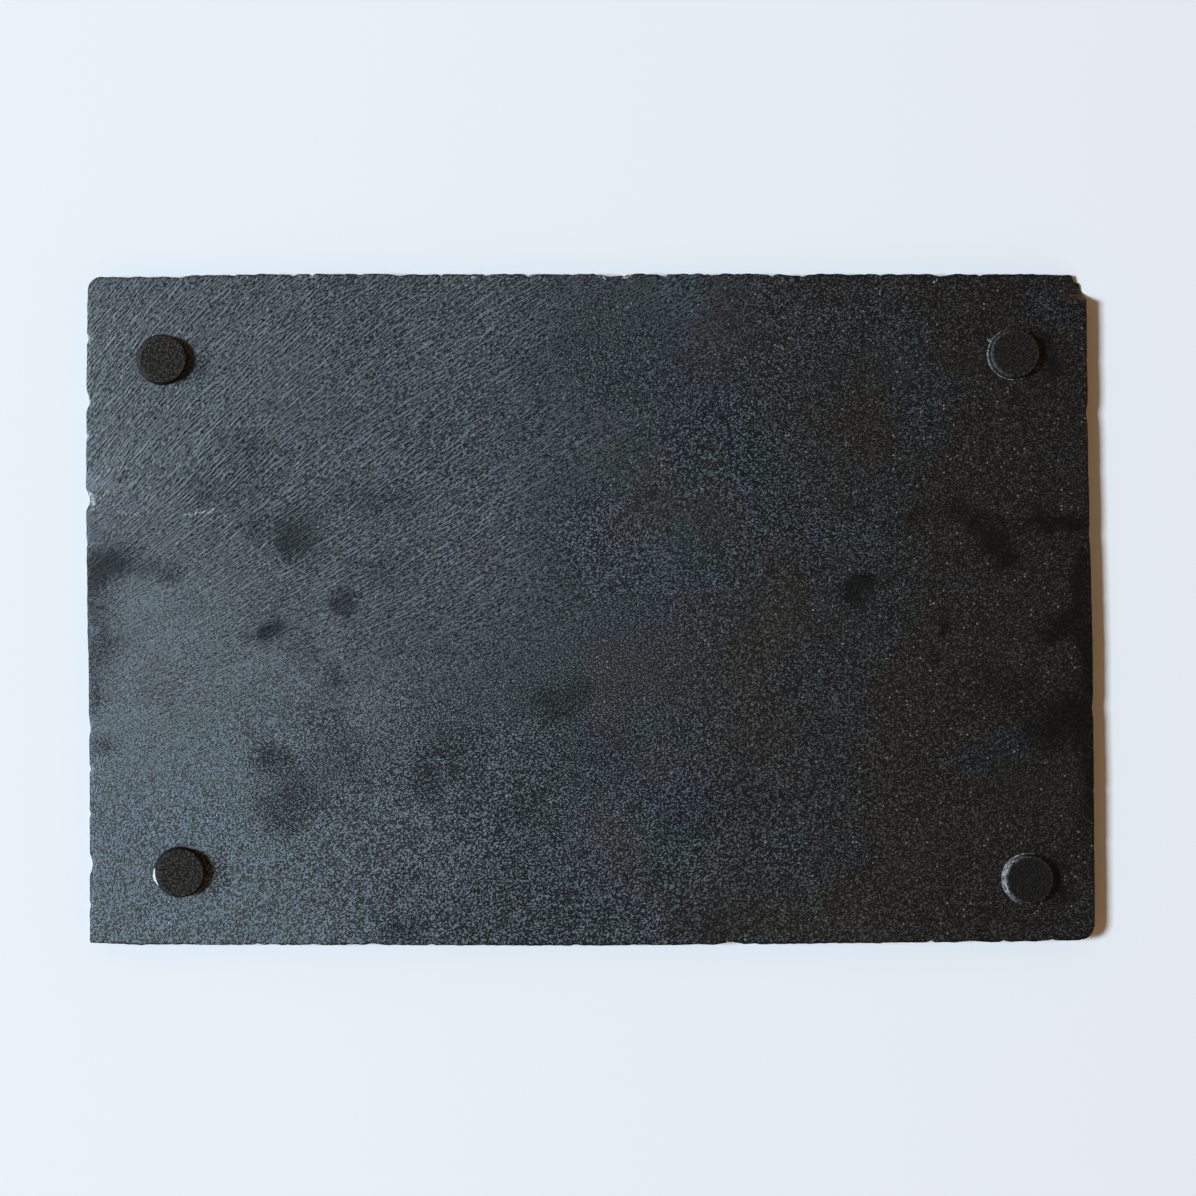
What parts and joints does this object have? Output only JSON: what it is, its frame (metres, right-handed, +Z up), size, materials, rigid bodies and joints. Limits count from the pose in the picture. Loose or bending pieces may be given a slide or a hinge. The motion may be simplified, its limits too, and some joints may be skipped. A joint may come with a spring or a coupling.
{
  "type": "slate slab",
  "caption": "Rectangular board of natural cleft slate with rough dressed edges, lying on its serving face, with round foam feet stuck to its upturned underside.",
  "frame": {"origin": "on the surface that the board lies on, under the middle of the board", "axes": "+X along the length, to the right of the picture; +Y across the width, to the top of the picture; +Z up, out of the underside that carries the feet"},
  "size_m": [0.3, 0.2, 0.008],
  "materials": {
    "slate": "matte",
    "foam": "matte",
    "adhesive_film": "satin"
  },
  "bodies": {
    "root": {"slate_slab": "slate", "foot_back_left": "foam", "foot_back_right": "foam", "foot_front_left": "foam", "foot_front_right": "foam", "adhesive_back_left": "adhesive_film", "adhesive_back_right": "adhesive_film", "adhesive_front_left": "adhesive_film", "adhesive_front_right": "adhesive_film"}
  },
  "joints": []
}
